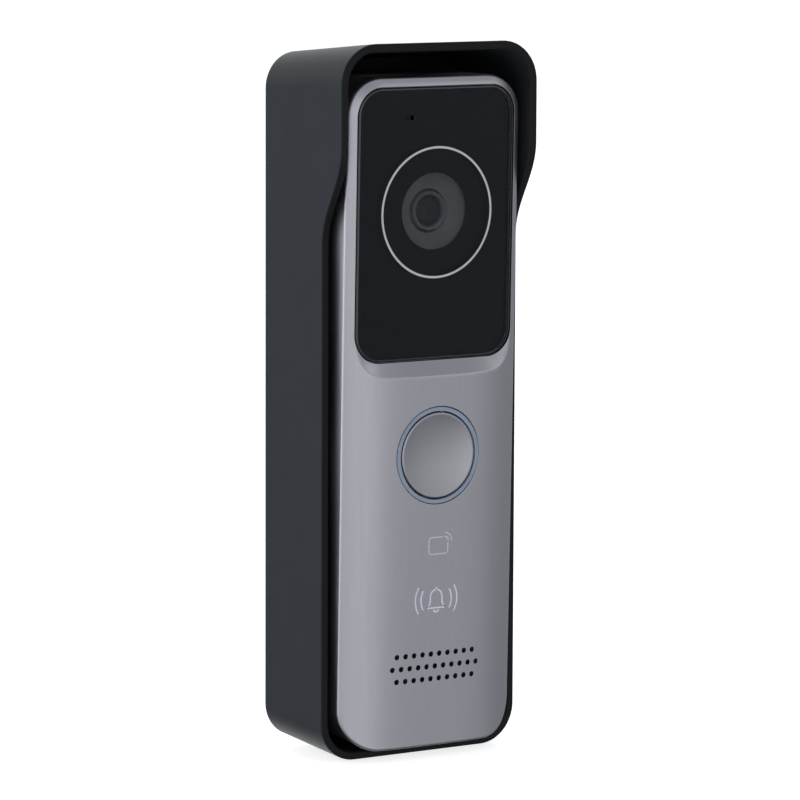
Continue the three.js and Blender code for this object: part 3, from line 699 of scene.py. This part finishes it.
def front_shell():
    solid = Solid()
    rim = DEVICE.rim(step=2.0, arc=14)
    pocket = POCKET.rim(step=1.2, arc=18)
    bore = circle(0, button.z, BUTTON_HOLE, 120)
    sound_holes = []
    for row, count in enumerate(SOUND_ROWS):
        for i in range(count):
            x = (i - (count - 1) / 2) * SOUND_PITCH
            sound_holes.append(circle(x, speaker.z + (1 - row) * SOUND_ROW_GAP, SOUND_HOLE, 20))

    def rounded_edge(edge_rim, sign, ease, steps, top):
        """Rings from the front surface round its edge and a little way back. The sign is 1 for the
        outer edge and -1 for a hole's."""
        rings = []
        for k in range(steps + 1):
            t = k / steps
            ring, normals = [], []
            for at, normal in edge_rim:
                start = at - normal * ease * sign
                depth = top(at.x, at.y)
                first = Vector((start.x, top(start.x, start.y), start.y))
                middle = Vector((at.x, depth, at.y))
                last = Vector((at.x, depth + ease, at.y))
                ring.append(first.lerp(middle, t).lerp(middle.lerp(last, t), t))
                side = Vector((normal.x, 0, normal.y)) * sign
                normals.append(face_normal(start.x, start.y).lerp(side, t).normalized())
            rings.append((solid.ring(ring), normals))
        for (first, a), (second, b) in zip(rings, rings[1:]):
            solid.strip(first, second, a, b)
        return rings[0][0], rings[-1][0]

    def wall(ring, edge_rim, sign, inset, depth_of):
        """A straight wall from a ring back to another depth."""
        side = [Vector((n.x, 0, n.y)) * sign for _, n in edge_rim]
        end = solid.ring((at.x, depth_of(at.x, at.y), at.y) for at in moved_in(edge_rim, inset))
        solid.strip(ring, end, side, side)
        return end

    def inside(x, z):
        """Depth of the shell's inner side."""
        start, end = INNER_STEP
        if z > end:
            return INNER_FIELD
        share = abs(x / (DEVICE.half - DEVICE_WALL))
        lower = APEX + FACE_WALL + INNER_BOW * share ** BOW_POWER - LEAN * z
        return lower + (INNER_FIELD - lower) * max(z - start, 0) / (end - start)

    front_loops, inner_loops = [], []
    border, edge = rounded_edge(rim, 1, EDGE, 6, face)
    rear = HOUSING.rim(step=2.0, arc=14, like=DEVICE)
    back = wall(edge, rear, 1, 0, lambda x, z: SHELL_BACK)
    for hole, ease, steps in [(bore, 0.14, 3)] + [(hole, 0.07, 2) for hole in sound_holes]:
        top, start = rounded_edge(hole, -1, ease, steps, face)
        front_loops.append(top)
        inner_loops.append(wall(start, hole, -1, 0, inside))
    top, start = rounded_edge(pocket, -1, 0.06, 2, face)
    front_loops.append(top)
    seat = wall(start, pocket, -1, 0, lambda x, z: plate(z, POCKET_DEPTH))
    ledge = POCKET_RIM + POCKET_GAP
    opening = level_ring(solid, moved_in(pocket, ledge), POCKET_DEPTH)
    flat = [Vector((0, -1, 0))] * len(pocket)
    solid.strip(seat, opening, flat, flat)
    inner_loops.append(wall(opening, pocket, -1, ledge, inside))

    spots = moved_in(rear, DEVICE_WALL)
    inner_back = solid.ring((spot.x, SHELL_BACK, spot.y) for spot in spots)
    backward = [Vector((0, 1, 0))] * len(rim)
    solid.strip(back, inner_back, backward, backward)
    inner_edge = solid.ring((spot.x, inside(spot.x, spot.y), spot.y) for spot in spots)
    facing_in = [Vector((-n.x, 0, -n.y)) for _, n in rim]
    solid.strip(inner_back, inner_edge, facing_in, facing_in)

    def far_from_holes(x, z):
        """Whether a place keeps clear of the front's edge and of everything cut into it."""
        gap, sound_half_high, sound_half_wide = 0.45, 4.2, 12.8
        if POCKET.outside(x, z) < gap or DEVICE.outside(x, z) > -EDGE - gap:
            return False
        if hypot(x, z - button.z) < BUTTON_HOLE + gap:
            return False
        return abs(z - speaker.z) > sound_half_high or abs(x) > sound_half_wide

    places = [p for p in ledge_places() if DEVICE.outside(p.x, p.y) < -EDGE - 0.15
              and WINDOW.outside(p.x, p.y) > POCKET_GAP + 0.12]
    ledge_zone = FLOOR.grown(4.6)
    across, along = 37, 62
    for i in range(across):
        x = (2 * i / (across - 1) - 1) * (DEVICE.half - 0.6)
        for j in range(along):
            z = DEVICE.low + (j + 0.5) * (DEVICE.high - DEVICE.low) / along
            near_ledge = ledge_zone.outside(x, z) < 0 and z < WINDOW.low + 13
            if far_from_holes(x, z) and not near_ledge:
                places.append(Vector((x, z)))
    solid.fill(border, front_loops, places, face, face_normal)
    inner_places = [p for p in places if HOUSING.outside(p.x, p.y) < -DEVICE_WALL - 0.5
                    and WINDOW.outside(p.x, p.y) > 1]
    solid.fill(inner_edge, inner_loops, inner_places, inside, lambda x, z: Vector((0, 1, 0)))
    return solid.build("shell_face")


place(front_shell(), "aluminium", ["front_shell"], slot="aluminium")

# ---------- window ----------


def window_plate():
    solid = Solid()
    # (inset, distance behind the front) points of the plate's edge and the microphone hole's
    edge = [(0.12, WINDOW_THICK), (0, 1.28), (0, 0.4), (0.08, 0.24), (0.22, 0.09), (0.36, 0.02), (0.5, 0)]
    hole_edge = [(0, WINDOW_THICK), (0, 0.08), (-0.03, 0.02), (-0.08, 0)]
    ends = []
    for rim, section in ((WINDOW.rim(step=1.6, arc=18), edge),
                         (circle(microphone.x, microphone.z, MICROPHONE_HOLE, 32), hole_edge)):
        levels = [level_ring(solid, moved_in(rim, inset), behind) for inset, behind in section]
        solid.strips(levels)
        ends.append((levels[0], levels[-1]))
    for border, hole in zip(*ends):
        solid.fill(border, [hole])
    piece = solid.build("window_plate")
    for patch in piece.data.polygons:
        if abs(patch.normal.y) > 0.999:
            continue
        behind = patch.center.y / MM - plate(patch.center.z / MM)
        patch.material_index = 2 if behind < 0.3 else 1  # a glossy rim, and dull sides behind it
    return piece


def window_print():
    """The black layer behind the window, open in front of the lens and the microphone."""
    solid = Solid()
    near, far = 1.5, 1.75
    rims = [WINDOW.grown(-0.4).rim(step=1.6, arc=18), circle(RING_X, lens_centre.z, APERTURE, 96),
            circle(microphone.x, microphone.z, 0.8, 32)]
    sides = []
    for rim in rims:
        pair = [level_ring(solid, moved_in(rim, 0), behind) for behind in (near, far)]
        solid.strips(pair)
        sides.append(pair)
    for border, *holes in zip(*sides):
        solid.fill(border, holes)
    return solid.build("window_print")


pane = place(window_plate(), "window", ["front_window"], slot="window")
pane.data.materials.append(LOOKS["mask"])
pane.data.materials.append(LOOKS["window_rim"])
place(window_print(), "mask", ["window_mask"], slot="mask")


def printed_ring():
    solid = Solid()
    half_width, thick, lift = 0.25, 0.02, 0.012
    inner, outer = RING_RADIUS - half_width, RING_RADIUS + half_width
    rings = []
    for radius, behind in ((inner, -lift), (outer, -lift), (outer, thick), (inner, thick)):
        rim = circle(RING_X, RING_Z, radius, 160)
        rings.append(level_ring(solid, moved_in(rim, 0), behind))
    solid.strips(rings, closed=True)
    return solid.build("window_ring")


place(printed_ring(), "print")

# ---------- camera behind the window ----------

# sections as (radius, depth) points
FUNNEL = [(4.9, -26.3), (8.9, -27.4), (10.6, -27.4), (10.6, -24.2), (9.6, -24.2), (9.6, -26.4),
          (8.9, -26.6), (4.9, -25.5)]
TUBE = [(3.5, -26.6), (3.75, -26.95), (4.2, -27.1), (4.4, -26.9), (4.4, -22.4), (6, -22), (6, -16.2),
        (3.5, -16.2)]
DOME_RADIUS, DOME_FRONT, DOME_RISE = 3.3, -27, 0.9
dome = [(DOME_RADIUS * i / 14, DOME_FRONT + DOME_RISE * (i / 14) ** 2) for i in range(15)]
dome += [(DOME_RADIUS, -25), (1.8, -24.6), (0, -24.5)]

place(turned("lens_funnel", soften(FUNNEL, 0.12), lens_centre, 120), "shroud", ["lens_shroud"],
      slot="shroud")
place(turned("lens_tube", soften(TUBE, 0.08), lens_centre, 120), "lens_ring", ["lens_barrel"],
      slot="black_plastic")
place(turned("lens_dome", dome, lens_centre), "lens_glass", ["front_lens"], slot="lens_glass")

# ---------- call button ----------


def button_piece(name, section, radius):
    """Turns (radius, distance behind the bowed front) points, with their corners rounded."""
    closed = section[0][0] > 0
    points = [(r, BUTTON_FACE + behind) for r, behind in section]
    return turned(name, soften(points, radius, closed), button, 128, leaning=True)


DISH_RADIUS, DISH_DEPTH, CAP_LEVEL = 9.2, 1.3, 0.1
dish = [(DISH_RADIUS * i / 18, CAP_LEVEL + DISH_DEPTH * (1 - (i / 18) ** 2)) for i in range(19)]
CAP_EDGE = [(9.45, CAP_LEVEL), (9.63, 0.28), (9.63, 3.8), (11.2, 3.8), (11.2, 4.6), (2, 4.6), (2, 6),
            (0, 6)]
HALO = [(9.98, 0.15), (10.9, 0.15), (10.9, 2.9), (13, 2.9), (13, 3.5), (9.98, 3.5)]

place(button_piece("button_cap", dish + CAP_EDGE, 0.1), "button", ["call_button"], body="button",
      slot="button")
place(button_piece("button_halo", HALO, 0.12), "light_ring", ["button_light_ring"], slot="light_ring")

# ---------- printed marks on the shell ----------


def stroke(solid, path, width, closed=False):
    """A thin printed line that follows the shell's front."""
    lift = 0.03
    path = [Vector(p) for p in path]
    left, right, under_left, under_right = [], [], [], []
    for i, here in enumerate(path):
        before = path[i - 1] if i or closed else here
        after = path[(i + 1) % len(path)] if i < len(path) - 1 or closed else here
        along = (after - before).normalized()
        side = Vector((-along.y, along.x)) * width / 2
        for spots, at, rise in ((left, here + side, lift), (right, here - side, lift),
                                (under_left, here + side, -lift), (under_right, here - side, -lift)):
            spots.append((at.x, face(at.x, at.y) - rise, at.y))
    rails = [solid.ring(spots) for spots in (left, right, under_right, under_left)]
    count = len(path)
    for i in range(count if closed else count - 1):
        j = (i + 1) % count
        for first, second in zip(rails, rails[1:] + rails[:1]):
            solid.face([first[i], first[j], second[j], second[i]])
    if not closed:
        for end in (0, count - 1):
            solid.face([rail[end] for rail in rails])


def arc_path(x, z, radius, start, end, steps=10):
    turns = [radians(start + (end - start) * i / steps) for i in range(steps + 1)]
    return [(x + radius * cos(turn), z + radius * sin(turn)) for turn in turns]


def card_mark():
    """A card with a missing corner and two waves over it."""
    solid = Solid()
    left, right, low, high, corner, width = -2.2, 2.9, -33.7, -29.9, 0.75, 0.27
    path = [(1.5, high)]
    path += arc_path(left + corner, high - corner, corner, 90, 180)
    path += arc_path(left + corner, low + corner, corner, 180, 270)
    path += arc_path(right - corner, low + corner, corner, 270, 360)
    path += [(right, -31.2)]
    stroke(solid, path, width)
    for radius in (1.0, 1.9):
        stroke(solid, arc_path(2.0, -30.9, radius, 0, 90), width)
    return solid.build("card_mark")


def bell_mark():
    """A plain bell with two rings of sound on each side."""
    solid = Solid()
    x, z, width = 0.0, -44.2, 0.38
    body = arc_path(x, z + 0.9, 1.55, 180, 0, 14)
    body += [(x + 1.6, z - 0.4), (x + 1.9, z - 1.1), (x + 2.5, z - 1.7)]
    body += [(x - 2.5, z - 1.7), (x - 1.9, z - 1.1), (x - 1.6, z - 0.4)]
    stroke(solid, body, width, closed=True)
    stroke(solid, arc_path(x, z - 1.85, 0.75, 200, 340), width)
    stroke(solid, [(x, z + 2.35), (x, z + 2.95)], 0.5)
    for side in (-1, 1):
        for radius in (4.1, 5.6):
            path = arc_path(0, z + 0.2, radius, -32, 32)
            stroke(solid, [(x + side * a, b) for a, b in path], 0.36)
    return solid.build("bell_mark")


place(card_mark(), "faint_mark")
place(bell_mark(), "mark")

# ---------- grommet and security screw ----------

# (inset, depth) points
GROMMET = [(0.3, -0.2), (2.3, -0.2), (2.3, -3.4), (-GROMMET_FLANGE, -3.4), (-GROMMET_FLANGE, -2.3),
           (0.3, -2.3)]
place(swept("grommet", CABLE.rim(step=2, arc=10), soften(GROMMET, 0.35)), "rubber", ["cable_grommet"],
      slot="rubber")


def security_screw():
    solid = Solid()
    centre = centre_of("security_screw")
    sides, hex_radius = 60, 1.1
    rings = []

    def ring(radius, z, hexagonal=False):
        spots = []
        for i in range(sides):
            turn = 2 * pi * i / sides
            r = radius
            if hexagonal:
                from_flat = (turn + pi / 6) % (pi / 3) - pi / 6
                r = radius * cos(pi / 6) / cos(from_flat)
            spots.append((centre.x + r * cos(turn), centre.y + r * sin(turn), z))
        rings.append(solid.ring(spots))

    low = node_box("security_screw")[0].z
    ring(hex_radius, low + 0.5, True)
    ring(hex_radius, low + 0.08, True)
    ring(hex_radius + 0.08, low, True)
    for radius, z in ((2.1, 0), (2.35, 0.08), (2.55, 0.25), (2.6, 0.4), (2.6, 0.85), (1.3, 0.85),
                      (1.3, 7.3), (1.1, 7.6)):
        ring(radius, low + z)
    solid.strips(rings)
    solid.fan(rings[0], (centre.x, centre.y, low + 0.5))
    solid.fan(rings[-1], (centre.x, centre.y, low + 7.6))
    return solid.build("bottom_screw")


place(security_screw(), "steel", ["security_screw"], slot="steel")

# ---------- finishes of the CAD nodes that stay ----------

NODE_LOOKS = {
    "steel": ["bracket", "screw", "tact_switch", "wifi_module", "speaker_frame"],
    "black_plastic": ["lens_holder", "rear_housing", "tamper_plunger"],
    "rubber": ["housing_seal", "microphone_boot"],
    "foam": ["window_adhesive", "speaker_gasket"],
    "board": ["_board"],
    "copper": ["actuator", "flex", "antenna"],
    "lens_glass": ["rear_lens", "shuttle"],
    "paper": ["speaker_mesh", "speaker_cone"],
    "led": ["_led_"],
    "terminal": ["terminal_block"],
    "chip": ["image_sensor", "light_sensor", "tact_plunger", "magnet", "microphone", "processor",
             "tamper_switch"],
}


def look_of(name):
    """The finish whose longest keyword is in the node's name."""
    found = [(len(word), look) for look, words in NODE_LOOKS.items() for word in words if word in name]
    return max(found)[1]


for name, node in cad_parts.items():
    if not node.hide_render:
        dress(node, look_of(name))

# ---------- light, floor and surroundings ----------

LAMP_DISTANCE = 1.4


def lamp(name, size, azimuth, elevation, radiance):
    """A soft box aimed at the doorbell. Azimuth 0 is straight in front and positive to the right."""
    data = bpy.data.lights.new(name, "AREA")
    data.shape = "RECTANGLE"
    data.size, data.size_y = size
    data.energy = radiance * pi * size[0] * size[1]
    box = bpy.data.objects.new(name, data)
    side, rise = radians(azimuth), radians(elevation)
    away = Vector((sin(side) * cos(rise), -cos(side) * cos(rise), sin(rise)))
    box.location = away * LAMP_DISTANCE
    box.rotation_mode = "QUATERNION"
    box.rotation_quaternion = away.to_track_quat("Z", "Y")
    box.visible_camera = False
    bpy.context.scene.collection.objects.link(box)


lamp("front_box", (1.1, 1.7), -10, 2, 0.24)
lamp("left_box", (0.9, 1.4), -122, 8, 0.8)
lamp("right_box", (0.7, 0.5), 50, 33, 0.3)
lamp("top_box", (1.0, 1.0), 170, 60, 0.8)


def make_world():
    """Soft surroundings, darker to the right and below, and bluish behind up to a white top. The camera
    itself sees plain white."""
    world = bpy.data.worlds.new("studio")
    bpy.context.scene.world = world
    world.use_nodes = True
    tree = world.node_tree
    background = tree.nodes["Background"]
    direction = tree.nodes.new("ShaderNodeTexCoord")
    parts = tree.nodes.new("ShaderNodeSeparateXYZ")
    tree.links.new(direction.outputs["Generated"], parts.inputs["Vector"])

    def shades(part, stops):
        share = tree.nodes.new("ShaderNodeMapRange")
        share.inputs["From Min"].default_value = -1
        tree.links.new(parts.outputs[part], share.inputs["Value"])
        ramp = tree.nodes.new("ShaderNodeValToRGB")
        ramp.color_ramp.interpolation = "EASE"
        marks = ramp.color_ramp.elements
        while len(marks) < len(stops):
            marks.new(0.5)
        for mark, (position, colour) in zip(marks, stops):
            mark.position = (position + 1) / 2
            mark.color = (*colour, 1)
        tree.links.new(share.outputs["Result"], ramp.inputs["Fac"])
        return ramp.outputs["Color"]

    def combined(kind, first, second, share=1.0):
        mix = tree.nodes.new("ShaderNodeMix")
        mix.data_type, mix.blend_type = "RGBA", kind
        factor, *_ = [socket for socket in mix.inputs if socket.type == "VALUE"]
        colours = [socket for socket in mix.inputs if socket.type == "RGBA"]
        if isinstance(share, float):
            factor.default_value = share
        else:
            tree.links.new(share, factor)
        for socket, source in zip(colours, (first, second)):
            tree.links.new(source, socket)
        return [socket for socket in mix.outputs if socket.type == "RGBA"][0]

    def grey(value):
        return (value,) * 3

    def cool(value):
        return value * 0.97, value, value * 1.05

    across = shades("X", [(-0.8, cool(0.68)), (-0.45, cool(0.52)), (-0.1, cool(0.49)), (0.6, cool(0.49)),
                          (0.95, cool(0.3))])
    upward = shades("Z", [(-0.75, grey(0.2)), (-0.4, grey(0.7)), (0.0, grey(0.98)), (0.5, grey(0.82)),
                          (0.85, grey(0.66))])
    behind = shades("Y", [(0.4, grey(0)), (0.75, grey(1))])
    backdrop = shades("Z", [(-0.5, (0.22, 0.25, 0.3)), (-0.18, (0.27, 0.32, 0.39)),
                            (-0.04, (0.42, 0.53, 0.65)), (0.3, (0.95, 1.0, 1.0))])
    bright = shades("Z", [(-0.15, grey(0.95)), (0.0, (0.48, 0.59, 0.7)), (0.3, (0.95, 1.0, 1.0))])
    rightward = shades("X", [(-0.4, grey(0)), (0.1, grey(1))])
    backdrop = combined("MIX", backdrop, bright, rightward)
    light = combined("MULTIPLY", across, upward)
    tree.links.new(combined("MIX", light, backdrop, behind), background.inputs["Color"])
    white = tree.nodes.new("ShaderNodeBackground")
    white.inputs["Color"].default_value = (1, 1, 1, 1)
    white.inputs["Strength"].default_value = 1.05
    path = tree.nodes.new("ShaderNodeLightPath")
    mix = tree.nodes.new("ShaderNodeMixShader")
    tree.links.new(path.outputs["Is Camera Ray"], mix.inputs["Fac"])
    tree.links.new(background.outputs["Background"], mix.inputs[1])
    tree.links.new(white.outputs["Background"], mix.inputs[2])
    tree.links.new(mix.outputs["Shader"], tree.nodes["World Output"].inputs["Surface"])


make_world()


def make_floor():
    """A pale floor under the doorbell, drawn as a wide disc."""
    solid = Solid()
    radius, sides, z = 3000, 64, cover_low.z - 0.05
    turns = [2 * pi * i / sides for i in range(sides)]
    ring = solid.ring((radius * cos(turn), radius * sin(turn), z) for turn in turns)
    solid.fan(ring, (0, 0, z))
    floor_piece = solid.build("floor")
    floor_piece.visible_glossy = False
    floor_piece.visible_transmission = False
    finish = Finish("floor", (0.86, 0.86, 0.86), 0.7)
    finish.vary_colour(finish.grain(40), 0.004)
    finish.set("Emission Color", (1, 1, 1, 1))
    finish.set("Emission Strength", 0.75)
    floor_piece.data.materials.append(finish.material)


make_floor()
bpy.context.scene.view_settings.view_transform = "Standard"
